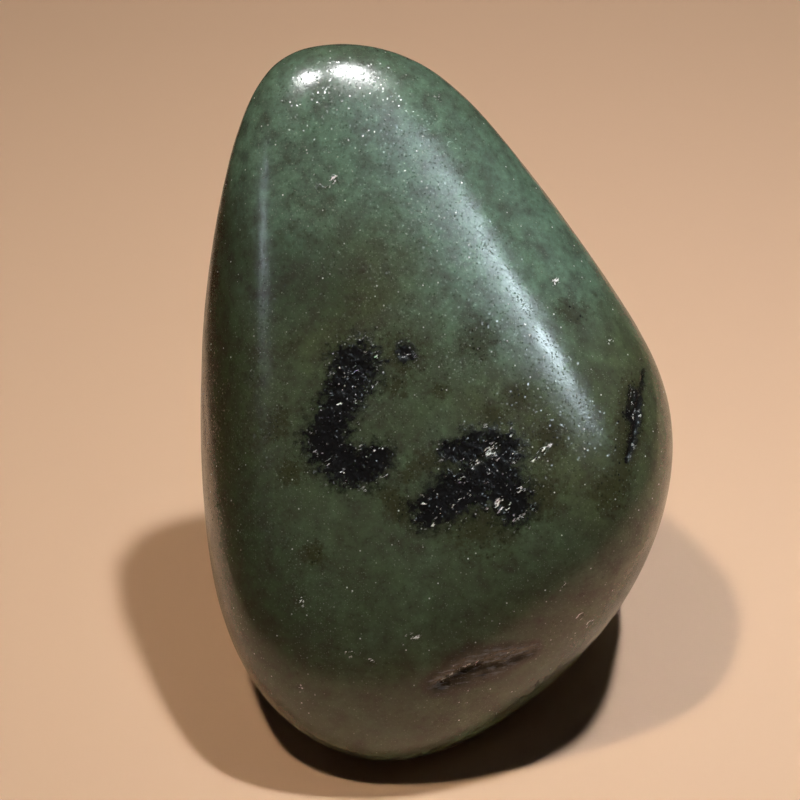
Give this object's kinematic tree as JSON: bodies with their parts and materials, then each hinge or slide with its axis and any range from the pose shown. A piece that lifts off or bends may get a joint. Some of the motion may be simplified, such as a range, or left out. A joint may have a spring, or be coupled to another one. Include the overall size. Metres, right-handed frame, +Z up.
{
  "type": "tumbled jade pebble",
  "caption": "Tumble-polished jade pebble, egg-like with worn flat faces, broad at the bottom and narrow at the top, standing upright on a small flat underneath.",
  "frame": {"origin": "on the resting surface, under the middle of the stone's bounding box", "axes": "+Z up through the stone's narrow end, -Y out of its broad sloping front, +X to the right of that front"},
  "size_m": [0.0334, 0.0316, 0.0438],
  "materials": {
    "polished_jade": "tumble-polished, waxy gloss with fine pits, dark green mottled with black inclusions and small scars"
  },
  "bodies": {
    "root": {"jade_pebble": "polished_jade"}
  },
  "joints": []
}
